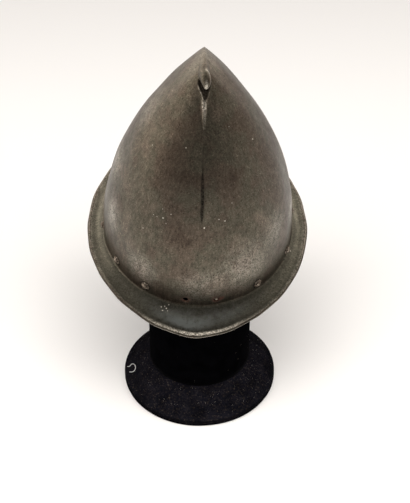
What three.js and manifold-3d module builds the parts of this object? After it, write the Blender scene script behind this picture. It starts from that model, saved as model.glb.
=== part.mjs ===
// A cabasset on its display stand, in millimetres, +Z up.
// The helmet is one piece of forged steel plate: an almond-shaped skull with a keel from front to back,
// a short stalk at the apex that points backwards, and a narrow brim, pointed at front and back, with
// a turned edge. Lining rivets run round the base of the skull. The helmet leans back on the domed
// column of a velvet-covered stand.
// The origin is on the floor under the middle of the stand. The back of the helmet faces -Y.
import * as THREE from 'three';
import { mergeVertices } from 'three/addons/utils/BufferGeometryUtils.js';
import Module from 'manifold-3d';

// Skull, measured outside, in the helmet's own frame: +Z to the apex, 0 at the crease with the brim
const skullWidth = 191;
const skullLength = 218;
const skullHeight = 218;
const apexSetback = 5; // how far the apex lies behind the middle of the brim
const plateThickness = 1.5;

// A profile falls from its half size at the brim to nothing at the apex as (1 - share^fall)^round:
// a low round is full and blunt, a high one straight and pointed
const sideProfile = { half: skullWidth / 2, fall: 2.06, round: 0.92 };
const backProfile = { half: skullLength / 2, fall: 2.2, round: 0.85 };
const frontProfile = { half: skullLength / 2, fall: 2, round: 0.45 };
const keelStart = 0.1; // share of the height where the keel begins to rise out of the oval
const keelSharpness = 0.57; // at the apex: 0 is an oval section, 1 is two flat sides

// Brim, to its outermost edge
const brimWidth = 224;
const brimLength = 288;
const brimDrop = 4.2; // the edge lies this far below the crease
const brimPointing = 1.19; // 1 is an oval outline, more draws out the points
const creaseRadius = 3.5;
const dishDepth = 1.5;
const borderWidth = 7; // the flat border inside the turned edge
const edgeDiameter = 3.5;

// Stalk
const stalkLength = 23;
const stalkWidth = 10;
const stalkDepth = 7;
const stalkSides = 12;
// Each row is one section: back and up from the apex in shares of the length, then the width
// and depth in shares of the stalk's own
const stalkSections = [
  { back: 0.97, up: -0.165, wide: 0.48, deep: 0.46 },
  { back: 0.85, up: -0.07, wide: 0.72, deep: 0.71 },
  { back: 0.65, up: 0, wide: 0.88, deep: 0.86 },
  { back: 0.39, up: 0.01, wide: 0.96, deep: 0.97 },
  { back: 0.18, up: -0.05, wide: 1, deep: 1.2 },
  { back: 0.04, up: -0.26, wide: 1.16, deep: 1.7 },
];

// Lining rivets
const fitGap = 0.3; // between pieces that touch on the real one
const rivetRow = 9.6; // height of the row above the crease
const shankDiameter = 3;
const headDiameter = 6.4;
const headHeight = 1.8;
const clenchDiameter = 5;
const clenchHeight = 1;
const washerDiameter = 9.8;
const washerThickness = 0.8;
const washerPetals = 8;
const washerNotch = 0.18; // depth between two petals, as a share of the washer's radius
const rivetSides = 10;
// Degrees round the skull from the back point towards +X. The one just right of the back point has
// lost its head and washer, and the one just left of it is gone.
const rivetRing = [
  { turn: 11.6, state: 'headless' },
  { turn: 38.5, state: 'whole' },
  { turn: 68, state: 'whole' },
  { turn: 96, state: 'whole' },
  { turn: 122, state: 'whole' },
  { turn: 148, state: 'whole' },
  { turn: 174, state: 'whole' },
  { turn: 200, state: 'whole' },
  { turn: 226, state: 'whole' },
  { turn: 252, state: 'whole' },
  { turn: 278, state: 'whole' },
  { turn: 304, state: 'whole' },
  { turn: 328.5, state: 'whole' },
  { turn: 353.9, state: 'missing' },
];

// Stand
const baseDiameter = 164;
const baseThickness = 9; // at its rim
const baseRise = 24; // how much higher it is where the column stands
const columnDiameter = 108;
const columnHeight = 296; // from the base to where the dome begins
const standSides = 40;
const edgeRound = 2;

// How the helmet sits: its frame is turned about the middle of the column's dome
const leanBack = 9; // degrees, the back down
const leanRight = 1.85; // degrees, the apex towards +X
const turnLeft = 0.7; // degrees, seen from above
const seatAhead = 11.7; // the dome's middle lies this far ahead of the brim's middle
const seatAside = -2.6;
const seatClearance = 0.3;

// How finely the helmet is drawn
const columns = 56;
const skullRows = 16;
const cavityRows = 12;

const wasm = await Module();
wasm.setup();

function toSolid(geometry) {
  const bare = geometry.clone();
  bare.deleteAttribute('normal');
  bare.deleteAttribute('uv');
  const merged = mergeVertices(bare, 1e-4);
  return new wasm.Manifold(new wasm.Mesh({
    numProp: 3,
    vertProperties: new Float32Array(merged.attributes.position.array),
    triVerts: new Uint32Array(merged.index.array),
  }));
}

function toGeometry(solid) {
  const mesh = solid.getMesh();
  const geometry = new THREE.BufferGeometry();
  geometry.setAttribute('position', new THREE.BufferAttribute(new Float32Array(mesh.vertProperties), 3));
  geometry.setIndex(new THREE.BufferAttribute(new Uint32Array(mesh.triVerts), 1));
  geometry.computeVertexNormals();
  return geometry;
}

// Closes a stack of rings with a point at each end. Seen from the first point, each ring runs
// anticlockwise.
function loft(firstPoint, rings, lastPoint) {
  const points = [firstPoint, ...rings.flat(), lastPoint];
  const count = rings[0].length;
  const last = points.length - 1;
  const at = (ring, step) => 1 + ring * count + (step % count);
  const faces = [];
  for (let step = 0; step < count; step++) {
    faces.push(0, at(0, step), at(0, step + 1));
    for (let ring = 0; ring < rings.length - 1; ring++) {
      faces.push(at(ring, step), at(ring + 1, step), at(ring + 1, step + 1));
      faces.push(at(ring, step), at(ring + 1, step + 1), at(ring, step + 1));
    }
    faces.push(last, at(rings.length - 1, step + 1), at(rings.length - 1, step));
  }
  const geometry = new THREE.BufferGeometry().setFromPoints(points);
  geometry.setIndex(faces);
  return geometry;
}

function profileSize(profile, share) {
  return profile.half * Math.pow(Math.max(0, 1 - Math.pow(share, profile.fall)), profile.round);
}

// The profile moved in by a wall that is measured square to the surface
function insetSize(profile, share, wall) {
  const step = 0.001;
  const rise = profileSize(profile, share + step) - profileSize(profile, share - step);
  const slope = rise / (2 * step * skullHeight);
  return profileSize(profile, share) - wall * Math.hypot(1, slope);
}

// A point on the skull at a share of its height, or on its inside where wall is the plate's thickness.
// Turn is in radians from the back point towards +X.
function skullPoint(share, turn, wall = 0) {
  const width = insetSize(sideProfile, share, wall);
  const along = -Math.cos(turn);
  const length = insetSize(along < 0 ? backProfile : frontProfile, share, wall);
  const keel = keelSharpness * THREE.MathUtils.smoothstep(share, keelStart, 1);
  const bulge = Math.sqrt(1 - (1 - keel * keel) * along * along) - keel;
  const x = width * Math.sign(Math.sin(turn)) * Math.max(0, bulge) / (1 - keel);
  return new THREE.Vector3(x, length * along - apexSetback * share, share * skullHeight);
}

function brimEdgePoint(turn) {
  const side = Math.sin(turn);
  const x = brimWidth / 2 * Math.sign(side) * Math.pow(Math.abs(side), brimPointing);
  return new THREE.Vector3(x, -brimLength / 2 * Math.cos(turn), -brimDrop);
}

const turns = Array.from({ length: columns }, (_, column) => column * 2 * Math.PI / columns);
const creaseShare = creaseRadius / skullHeight;
const rivetShare = rivetRow / skullHeight;

// One ring of points, each from a function of its turn
function ringOf(pointAt) {
  return turns.map(pointAt);
}

function skullRing(share, wall) {
  return ringOf((turn) => skullPoint(share, turn, wall));
}

// A ring set out level from the foot of the skull, towards the brim's edge
function footRing(out, height) {
  return ringOf((turn) => {
    const foot = skullPoint(creaseShare, turn);
    const outward = brimEdgePoint(turn).sub(foot).setZ(0).normalize();
    return foot.addScaledVector(outward, out).setZ(height);
  });
}

// A ring set in level from the brim's edge, towards the skull
function edgeRing(inset, height) {
  return ringOf((turn) => {
    const edge = brimEdgePoint(turn);
    const inward = skullPoint(creaseShare, turn).sub(edge).setZ(0).normalize();
    return edge.addScaledVector(inward, inset).setZ(height);
  });
}

// A ring part of the way across the brim's dish, from the crease to the border
function dishRing(across, height) {
  const near = footRing(creaseRadius, 0);
  const far = edgeRing(borderWidth, 0);
  return near.map((point, column) => point.lerp(far[column], across).setZ(height));
}

// Shares of the height from near the apex down to the rivets, closer together near the apex, and
// then the crease
function sharesDown(count, highest) {
  const shares = Array.from({ length: count }, (_, row) => {
    const down = row / (count - 1);
    return highest - (highest - rivetShare) * Math.pow(down, 1.35);
  });
  return [...shares, creaseShare];
}

function creaseArc(radius, degrees) {
  const angle = THREE.MathUtils.degToRad(degrees);
  return footRing(creaseRadius - radius * Math.cos(angle), creaseRadius - radius * Math.sin(angle));
}

// The turned edge is round, and the plate runs into its middle
function edgeArc(degrees) {
  const angle = THREE.MathUtils.degToRad(degrees);
  const radius = edgeDiameter / 2;
  return edgeRing(radius - radius * Math.cos(angle), -brimDrop + radius * Math.sin(angle));
}

const borderTop = -brimDrop + plateThickness / 2;

function skullAndBrim() {
  const meet = THREE.MathUtils.radToDeg(Math.PI - Math.asin(plateThickness / edgeDiameter));
  const rings = [
    ...sharesDown(skullRows, 0.985).map((share) => skullRing(share, 0)),
    creaseArc(creaseRadius, 45),
    creaseArc(creaseRadius, 90),
    dishRing(0.5, borderTop / 2 - dishDepth),
    dishRing(1, borderTop),
    ...[meet, 110, 60, 0, -60, -110, -meet].map(edgeArc),
    dishRing(1, borderTop - plateThickness),
    dishRing(0.5, borderTop / 2 - dishDepth - plateThickness),
    footRing(creaseRadius / 2, -plateThickness),
  ];
  const apex = new THREE.Vector3(0, -apexSetback, skullHeight);
  return loft(apex, rings, new THREE.Vector3(0, 0, -plateThickness));
}

// The space inside, which runs on out below the brim
function cavity() {
  const highest = 0.965;
  const bend = creaseRadius + plateThickness;
  const rings = [
    ...sharesDown(cavityRows, highest).map((share) => skullRing(share, plateThickness)),
    creaseArc(bend, 30),
    creaseArc(bend, 60),
    footRing(bend, -2 * plateThickness),
    footRing(bend, -brimDrop - edgeDiameter),
  ];
  const top = new THREE.Vector3(0, -apexSetback * highest, highest * skullHeight + plateThickness);
  return loft(top, rings, new THREE.Vector3(0, 0, -brimDrop - edgeDiameter));
}

function stalk() {
  const centres = stalkSections.map((row) => new THREE.Vector3(
    0,
    -apexSetback - row.back * stalkLength,
    skullHeight + row.up * stalkLength,
  ));
  const curve = new THREE.CatmullRomCurve3(centres);
  const side = new THREE.Vector3(1, 0, 0);
  const rings = stalkSections.map((row, index) => {
    const tangent = curve.getTangent(index / (stalkSections.length - 1));
    const up = new THREE.Vector3().crossVectors(tangent, side).negate();
    return Array.from({ length: stalkSides }, (_, step) => {
      const angle = step * 2 * Math.PI / stalkSides;
      return centres[index].clone()
        .addScaledVector(side, row.wide * stalkWidth / 2 * Math.cos(angle))
        .addScaledVector(up, row.deep * stalkDepth / 2 * Math.sin(angle));
    });
  });
  const tip = centres[0].clone().addScaledVector(curve.getTangent(0), -stalkDepth / 8);
  const root = centres.at(-1).clone().addScaledVector(curve.getTangent(1), stalkDepth / 4);
  return loft(tip, rings, root);
}

// Where a rivet goes through the skull: on its outside, with +Z square to the plate
function rivetPlace(degrees) {
  const turn = THREE.MathUtils.degToRad(degrees);
  const step = 0.001;
  const position = skullPoint(rivetShare, turn);
  const across = skullPoint(rivetShare, turn + step).sub(skullPoint(rivetShare, turn - step));
  const upward = skullPoint(rivetShare + step, turn).sub(skullPoint(rivetShare - step, turn));
  const outward = new THREE.Vector3().crossVectors(across, upward).normalize();
  const turned = new THREE.Quaternion().setFromUnitVectors(new THREE.Vector3(0, 0, 1), outward);
  return { position, turned };
}

function rivetHole(degrees) {
  const place = rivetPlace(degrees);
  const hole = new THREE.CylinderGeometry(
    shankDiameter / 2 + fitGap, shankDiameter / 2 + fitGap, 6 * plateThickness, rivetSides,
  );
  hole.rotateX(Math.PI / 2);
  hole.applyQuaternion(place.turned);
  hole.translate(place.position.x, place.position.y, place.position.z);
  return toSolid(hole);
}

function helmetShell() {
  let shell = toSolid(skullAndBrim()).add(toSolid(stalk())).subtract(toSolid(cavity()));
  for (const rivet of rivetRing) {
    shell = shell.subtract(rivetHole(rivet.turn));
  }
  return toGeometry(shell);
}

// A rivet stands on +Y, with 0 at the outside of the plate
function rivetGeometry(state) {
  const shank = shankDiameter / 2;
  const clench = clenchDiameter / 2;
  const inside = -plateThickness - fitGap;
  const foot = [
    [0, inside - clenchHeight],
    [clench * 0.7, inside - clenchHeight],
    [clench, inside - clenchHeight * 0.4],
    [clench, inside],
    [shank, inside],
  ];
  const head = headDiameter / 2;
  const seat = 2 * fitGap + washerThickness;
  const whole = [
    [shank, seat],
    [head, seat],
    [head * 0.92, seat + headHeight * 0.45],
    [head * 0.6, seat + headHeight * 0.85],
    [0, seat + headHeight],
  ];
  const headless = [
    [shank, fitGap],
    [0, fitGap],
  ];
  const points = [...foot, ...(state === 'whole' ? whole : headless)];
  return new THREE.LatheGeometry(points.map(([x, y]) => new THREE.Vector2(x, y)), rivetSides);
}

function washerGeometry() {
  const outline = new THREE.Shape();
  const count = washerPetals * 2;
  for (let step = 0; step < count; step++) {
    const angle = step * 2 * Math.PI / count;
    const radius = washerDiameter / 2 * (step % 2 ? 1 - washerNotch : 1);
    const draw = step ? 'lineTo' : 'moveTo';
    outline[draw](radius * Math.cos(angle), radius * Math.sin(angle));
  }
  outline.closePath();
  const hole = new THREE.Path().absarc(0, 0, shankDiameter / 2 + fitGap, 0, 2 * Math.PI, true);
  outline.holes.push(hole);
  return new THREE.ExtrudeGeometry(outline, {
    depth: washerThickness, bevelEnabled: false, curveSegments: rivetSides,
  });
}

// The least distance from a point to the faces of a mesh
function clearFrom(point, geometry) {
  const corners = geometry.attributes.position;
  const index = geometry.index.array;
  const face = new THREE.Triangle();
  const nearest = new THREE.Vector3();
  let least = Infinity;
  for (let start = 0; start < index.length; start += 3) {
    face.setFromAttributeAndIndices(corners, index[start], index[start + 1], index[start + 2]);
    face.closestPointToPoint(point, nearest);
    least = Math.min(least, nearest.distanceTo(point));
  }
  return least;
}

// The helmet comes down over the dome until its inside is the clearance away from it
function seatHeight() {
  const inside = cavity();
  const wanted = columnDiameter / 2 + seatClearance;
  let low = 0;
  let high = skullHeight;
  while (high - low > 0.001) {
    const middle = (low + high) / 2;
    const room = clearFrom(new THREE.Vector3(seatAside, seatAhead, middle), inside);
    if (room > wanted) {
      low = middle;
    } else {
      high = middle;
    }
  }
  return low;
}

const steel = new THREE.MeshStandardMaterial({ color: 0x5d564d, roughness: 0.5, metalness: 0.9 });
const rivetSteel = new THREE.MeshStandardMaterial({ color: 0x4f463c, roughness: 0.6, metalness: 0.85 });
const velvet = new THREE.MeshStandardMaterial({ color: 0x0c0c0e, roughness: 1, metalness: 0 });

function named(name, geometry, material) {
  const mesh = new THREE.Mesh(geometry, material);
  mesh.name = name;
  return mesh;
}

function liningRivet(rivet, index) {
  const place = rivetPlace(rivet.turn);
  const group = new THREE.Group();
  group.position.copy(place.position);
  group.quaternion.copy(place.turned);
  const number = String(index + 1).padStart(2, '0');
  const pin = named(`lining_rivet_${number}`, rivetGeometry(rivet.state), rivetSteel);
  pin.rotation.x = Math.PI / 2;
  group.add(pin);
  if (rivet.state === 'whole') {
    const washer = named(`rosette_washer_${number}`, washerGeometry(), rivetSteel);
    washer.position.z = fitGap;
    group.add(washer);
  }
  return group;
}

function helmet() {
  const group = new THREE.Group();
  group.add(named('helmet_shell', helmetShell(), steel));
  rivetRing.forEach((rivet, index) => {
    if (rivet.state !== 'missing') {
      group.add(liningRivet(rivet, index));
    }
  });
  return group;
}

function turnedSolid(name, outline) {
  const points = outline.map(([x, y]) => new THREE.Vector2(x, y));
  const mesh = named(name, new THREE.LatheGeometry(points, standSides), velvet);
  mesh.rotation.x = Math.PI / 2;
  return mesh;
}

// The base swells a little as it rises from its rim to the column
function standBase() {
  const radius = baseDiameter / 2;
  const inner = columnDiameter / 2;
  const swellSteps = 4;
  const swell = Array.from({ length: swellSteps + 1 }, (_, step) => {
    const inward = step / swellSteps;
    const reach = radius - edgeRound - inward * (radius - edgeRound - inner);
    return [reach, baseThickness + baseRise * (1 - (1 - inward) ** 1.3)];
  });
  return turnedSolid('stand_base', [
    [0, 0],
    [radius - edgeRound / 2, 0],
    [radius, edgeRound / 2],
    [radius, baseThickness - edgeRound],
    ...swell,
    [0, baseThickness + baseRise],
  ]);
}

function standColumn() {
  const radius = columnDiameter / 2;
  const domeSteps = 7;
  const dome = Array.from({ length: domeSteps }, (_, step) => {
    const angle = step * Math.PI / 2 / domeSteps;
    return [radius * Math.cos(angle), columnHeight + radius * Math.sin(angle)];
  });
  const mesh = turnedSolid('stand_column', [[0, 0], [radius, 0], ...dome, [0, columnHeight + radius]]);
  mesh.position.z = baseThickness + baseRise + fitGap;
  return mesh;
}

const cabassetOnStand = new THREE.Group();
cabassetOnStand.add(standBase(), standColumn());

const lean = new THREE.Group();
lean.position.z = baseThickness + baseRise + fitGap + columnHeight;
lean.rotation.set(
  THREE.MathUtils.degToRad(leanBack),
  THREE.MathUtils.degToRad(leanRight),
  THREE.MathUtils.degToRad(-turnLeft),
  'XYZ',
);
const seated = helmet();
seated.position.set(-seatAside, -seatAhead, -seatHeight());
lean.add(seated);
cabassetOnStand.add(lean);

export default cabassetOnStand;
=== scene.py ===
import math

import bpy
import numpy as np
from mathutils import Matrix, Vector
from mathutils.bvhtree import BVHTree


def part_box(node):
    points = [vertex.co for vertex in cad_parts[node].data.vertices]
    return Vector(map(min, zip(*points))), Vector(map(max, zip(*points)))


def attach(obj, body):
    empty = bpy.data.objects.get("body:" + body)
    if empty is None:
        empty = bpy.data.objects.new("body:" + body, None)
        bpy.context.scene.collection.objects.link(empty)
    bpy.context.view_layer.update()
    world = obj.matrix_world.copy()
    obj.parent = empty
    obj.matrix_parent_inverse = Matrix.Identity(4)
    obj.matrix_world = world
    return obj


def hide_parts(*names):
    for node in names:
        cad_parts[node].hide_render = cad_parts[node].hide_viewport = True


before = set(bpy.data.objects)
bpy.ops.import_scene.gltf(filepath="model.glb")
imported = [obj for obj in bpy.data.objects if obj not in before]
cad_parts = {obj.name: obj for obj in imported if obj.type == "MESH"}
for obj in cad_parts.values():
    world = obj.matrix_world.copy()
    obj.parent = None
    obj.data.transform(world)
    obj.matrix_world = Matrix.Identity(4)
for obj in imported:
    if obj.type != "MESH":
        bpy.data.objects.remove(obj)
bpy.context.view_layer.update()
mm = 0.001


# Camera at the photograph's angle, from behind and above

photoCamera = {
    "aim": (6.0, 0.0, 174.5),      # mm
    "distance": 1617.0,            # mm
    "downward": 40.6,              # degrees below level
    "focalPixels": 1574.0,         # for a frame 503 px high
    "frameWidth": 410.0,
    "frameHeight": 503.0,
    "sensor": 36.0,                # mm on the frame's longer side
}


# The camera's place, and the direction in which it looks
def lineOfSight():
    down = math.radians(photoCamera["downward"])
    toAim = Vector((0, math.cos(down), -math.sin(down)))
    return Vector(photoCamera["aim"]) * mm - toAim * photoCamera["distance"] * mm, toAim


def makeCamera():
    place, toAim = lineOfSight()
    data = bpy.data.cameras.new("photo_camera")
    data.sensor_width = photoCamera["sensor"]
    data.lens = photoCamera["focalPixels"] / photoCamera["frameHeight"] * photoCamera["sensor"]
    camera = bpy.data.objects.new("photo_camera", data)
    camera.location = place
    camera.rotation_euler = toAim.to_track_quat("-Z", "Y").to_euler()
    bpy.context.scene.collection.objects.link(camera)
    bpy.context.scene.camera = camera


# The point of a surface that the photograph shows at a pixel
def photoPoint(surface, x, y):
    place, toAim = lineOfSight()
    upward = Vector((0, -toAim.z, toAim.y))
    across = Vector((x - photoCamera["frameWidth"] / 2, 0, 0))
    above = photoCamera["frameHeight"] / 2 - y
    ray = toAim * photoCamera["focalPixels"] + across + upward * above
    return surface.ray_cast(place, ray.normalized())[0]


makeCamera()
bpy.context.scene.view_settings.view_transform = "Standard"
print("camera set")


# Small tools: colours, nodes, fades and meshes

def linear(hexColour):
    parts = [int(hexColour[i:i + 2], 16) / 255 for i in (0, 2, 4)]
    return tuple(p / 12.92 if p <= 0.04045 else ((p + 0.055) / 1.055) ** 2.4 for p in parts) + (1,)


def tones(stops):
    return [(at, linear(tone)) for at, tone in stops]


def addNode(tree, kind, settings={}, inputs={}, stops=()):
    node = tree.nodes.new(kind)
    for name, value in settings.items():
        setattr(node, name, value)
    for socket, value in inputs.items():
        if isinstance(value, bpy.types.NodeSocket):
            tree.links.new(value, node.inputs[socket])
        else:
            node.inputs[socket].default_value = value
    for index, (position, colour) in enumerate(stops):
        if index >= len(node.color_ramp.elements):
            node.color_ramp.elements.new(position)
        node.color_ramp.elements[index].position = position
        node.color_ramp.elements[index].color = colour
    return node


def newMaterial(name):
    material = bpy.data.materials.new(name)
    material.use_nodes = True
    tree = material.node_tree
    tree.nodes.clear()
    return material, tree


# A Geometry Nodes tree with named inputs: each size with its usual value, and None for a material
def newTree(name, inputs):
    tree = bpy.data.node_groups.new(name, "GeometryNodeTree")
    tree.interface.new_socket("Geometry", in_out="INPUT", socket_type="NodeSocketGeometry")
    sockets = {}
    for label, value in inputs.items():
        kind = "NodeSocketMaterial" if value is None else "NodeSocketFloat"
        socket = tree.interface.new_socket(label, in_out="INPUT", socket_type=kind)
        socket.default_value = value
        sockets[label] = socket.identifier
    tree.interface.new_socket("Geometry", in_out="OUTPUT", socket_type="NodeSocketGeometry")
    return tree, sockets


def smoothStep(value):
    value = np.clip(value, 0, 1)
    return value * value * (3 - 2 * value)


# From 0 at the start to 1 at the end of the reach, which is negative where it goes downwards
def ramp(value, start, reach):
    return smoothStep((value - start) / reach)


# 1 in the middle, fading out to both sides over the reach
def bell(value, middle, reach, power=2):
    return np.exp(-((value - middle) / reach) ** power)


# Closes a stack of rings with a point at each end; seen from the first one they run anticlockwise
def loftMesh(name, firstPoint, rings, lastPoint):
    count = len(rings[0])
    points = np.vstack([[firstPoint], *rings, [lastPoint]])
    last = len(points) - 1
    near = np.arange(count)
    after = (near + 1) % count
    faces = [(0, 1 + a, 1 + b) for a, b in zip(near, after)]
    for ring in range(len(rings) - 1):
        upper = 1 + ring * count
        lower = upper + count
        faces += list(zip(upper + near, lower + near, lower + after, upper + after))
    final = 1 + (len(rings) - 1) * count
    faces += [(last, final + b, final + a) for a, b in zip(near, after)]
    mesh = bpy.data.meshes.new(name)
    mesh.from_pydata(points.tolist(), [], [tuple(int(i) for i in face) for face in faces])
    mesh.update()
    mesh.shade_smooth()
    return mesh


def addObject(name, mesh):
    piece = bpy.data.objects.new(name, mesh)
    bpy.context.scene.collection.objects.link(piece)
    return piece


def setAttribute(mesh, name, kind, values):
    field = "vector" if kind == "FLOAT_VECTOR" else "value"
    attribute = mesh.attributes.get(name) or mesh.attributes.new(name, kind, "POINT")
    attribute.data.foreach_set(field, np.asarray(values, dtype=np.float32).ravel())


# The points or the normals of a mesh, as rows of x, y and z
def vertexRows(mesh, field):
    values = np.empty(len(mesh.vertices) * 3, dtype=np.float32)
    mesh.vertices.foreach_get(field, values)
    return values.reshape(-1, 3)


# A mesh as a surface that a ray can be sent at
def raySurface(mesh):
    corners = [tuple(face.vertices) for face in mesh.polygons]
    return BVHTree.FromPolygons([vertex.co for vertex in mesh.vertices], corners)


# Turns a piece's live modifiers into its plain mesh
def settle(piece):
    bpy.context.view_layer.update()
    graph = bpy.context.evaluated_depsgraph_get()
    mesh = bpy.data.meshes.new_from_object(
        piece.evaluated_get(graph), preserve_all_data_layers=True, depsgraph=graph)
    piece.modifiers.clear()
    piece.data = mesh


# Helmet shell: skull, keel, stalk and brim as one forged plate, in its own frame in mm

helmet = {
    "skullHeight": 218.0,
    "apexSetback": 5.0,
    "plate": 1.5,
    "side": (95.5, 2.06, 0.92),     # half size, fall and roundness of each profile
    "back": (109.0, 2.2, 0.85),
    "front": (109.0, 2.0, 0.45),
    "keelStart": 0.1,
    "keelSharpness": 0.57,
    "brimWidth": 224.0,
    "brimLength": 288.0,
    "brimDrop": 4.2,
    "brimPointing": 1.19,
    "creaseRadius": 2.6,
    "dishDepth": 0.7,
    "tipDish": 1.3,                 # how much deeper the brim is dished at its two points
    "tipReach": 0.32,               # how wide that is, as the sine of a turn from the keel
    "borderWidth": 7.0,
    # Each row of the border: how far inside the outer edge, and how high above the border's plane
    "borderRows": ((6.4, -0.1), (5.6, 0.02), (4.8, 0.2), (4.0, 0.3), (3.4, 0.25)),
    "edgeDiameter": 3.5,
    "columns": 288,
    "keelCrowding": 0.7,            # how much closer the mesh is at the keel
    "dishRows": 12,
    "edgeRows": 17,
    "lowRows": 88,
    "highRows": 64,                 # finer rows near the stalk
    "innerRows": 44,
    "highStart": 0.82,
    "skullTop": 0.955,              # share of the height where the stalk's own sections take over
    "innerTop": 0.945,              # share of the height where the inside closes
    "stalkSteps": 5,                # rings from one section of the stalk to the next
    "tipLead": 0.35,                # how far the tip stands out, as a share of the last step
    "joinRows": (26, 48),           # rings smoothed where the stalk leaves the skull
    "joinPasses": 5,
    "leanBack": 9.0,                # degrees
    "leanRight": 1.85,
    "turnLeft": 0.7,
    "seatAhead": 11.7,
    "seatAside": -2.6,
    "wobble": 0.33,                 # mm, the unevenness left by the hammer
    "wobbleWaves": 14,
    "wobbleLengths": (26.0, 90.0),
}

# Sections of the stalk from its root to its tip. Under and top are (y, z) from the apex in mm,
# half is the half width, aside is how far it bends to the right, and keel is how sharp it still is
stalkSections = [
    {"under": (-13.2, -7.4), "top": (7.0, -0.2), "half": 5.0, "aside": 0.1, "keel": 0.36},
    {"under": (-13.9, -7.1), "top": (-0.6, 1.1), "half": 4.6, "aside": 0.6, "keel": 0.15},
    {"under": (-15.4, -6.9), "top": (-7.0, 1.8), "half": 4.6, "aside": 1.3, "keel": 0.0},
    {"under": (-17.6, -6.8), "top": (-12.8, 1.5), "half": 4.3, "aside": 1.9, "keel": 0.0},
    {"under": (-19.8, -6.8), "top": (-17.6, -0.1), "half": 3.3, "aside": 2.2, "keel": 0.0},
    {"under": (-21.6, -6.8), "top": (-21.0, -2.3), "half": 1.9, "aside": 2.1, "keel": 0.0},
    {"under": (-22.6, -6.2), "top": (-22.4, -3.7), "half": 0.9, "aside": 1.9, "keel": 0.0},
]
# Tilted rings on the skull, between its last level ring and the stalk: share at back, at front
rootRings = [(0.9655, 0.9905), (0.9605, 0.9745), (0.9565, 0.9585)]


# Half the size of a profile at a share of the height
def profileSize(profile, share):
    half, fall, roundness = profile
    return half * np.maximum(0, 1 - np.clip(share, 0, 1) ** fall) ** roundness


def insetSize(profile, share, wall):
    step = 0.001
    rise = profileSize(profile, share + step) - profileSize(profile, share - step)
    slope = rise / (2 * step * helmet["skullHeight"])
    return profileSize(profile, share) - wall * math.hypot(1, slope)


# How far out the side of a section stands, from an oval to two flat sides
def lensShare(turns, keel):
    along = np.cos(turns)
    out = np.sqrt(np.maximum(0, 1 - (1 - keel * keel) * along * along)) - keel
    return np.sign(np.sin(turns)) * np.maximum(0, out) / (1 - keel)


def skullRing(share, turns, wall=0.0):
    width = insetSize(helmet["side"], share, wall)
    back = insetSize(helmet["back"], share, wall)
    front = insetSize(helmet["front"], share, wall)
    along = -np.cos(turns)
    rise = (share - helmet["keelStart"]) / (1 - helmet["keelStart"])
    keel = helmet["keelSharpness"] * float(smoothStep(rise))
    x = width * lensShare(turns, keel)
    y = along * np.where(along < 0, back, front) - helmet["apexSetback"] * share
    return np.stack([x, y, np.full_like(x, share * helmet["skullHeight"])], axis=1)


# Turns spaced evenly along the ring at a share of the height, closer together at the keel
def evenTurns(share):
    fine = np.linspace(0, math.pi, 721)
    steps = np.linalg.norm(np.diff(skullRing(share, fine), axis=0), axis=1)
    run = np.concatenate([[0], np.cumsum(steps)])
    half = helmet["columns"] // 2
    even = np.arange(half + 1) / half
    crowded = even - helmet["keelCrowding"] / (2 * math.pi) * np.sin(2 * math.pi * even)
    right = np.interp(crowded * run[-1], run, fine)
    return np.concatenate([right, 2 * math.pi - right[-2:0:-1]])


def brimEdge(turns):
    side = np.sin(turns)
    x = helmet["brimWidth"] / 2 * np.sign(side) * np.abs(side) ** helmet["brimPointing"]
    return np.stack([x, -helmet["brimLength"] / 2 * np.cos(turns), np.zeros_like(x)], axis=1)


def stalkControlRings(turns):
    apexY = -helmet["apexSetback"]
    apexZ = helmet["skullHeight"]
    rings = []
    for section in stalkSections:
        under = np.array([0, apexY + section["under"][0], apexZ + section["under"][1]])
        top = np.array([0, apexY + section["top"][0], apexZ + section["top"][1]])
        ring = (top + under) / 2 - np.outer(np.cos(turns), (top - under) / 2)
        ring[:, 0] = section["aside"] + section["half"] * lensShare(turns, section["keel"])
        rings.append(ring)
    return rings


# A ring on the skull whose share of the height changes from its back to its front
def tiltedRing(shareBack, shareFront):
    turns = evenTurns(helmet["skullTop"])
    shares = shareBack + (shareFront - shareBack) * (1 - np.cos(turns)) / 2
    return np.vstack([skullRing(share, turns[i:i + 1]) for i, share in enumerate(shares)])


# A smooth run of rings through the control rings, from the second to the last but one
def smoothRings(controls, steps):
    rings = []
    for a, b, c, d in zip(controls, controls[1:], controls[2:], controls[3:]):
        for step in range(steps):
            q = step / steps
            rings.append(0.5 * (2 * b + (c - a) * q + (2 * a - 5 * b + 4 * c - d) * q * q
                                + (3 * b - a - 3 * c + d) * q ** 3))
    rings.append(controls[-2])
    return rings


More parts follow.
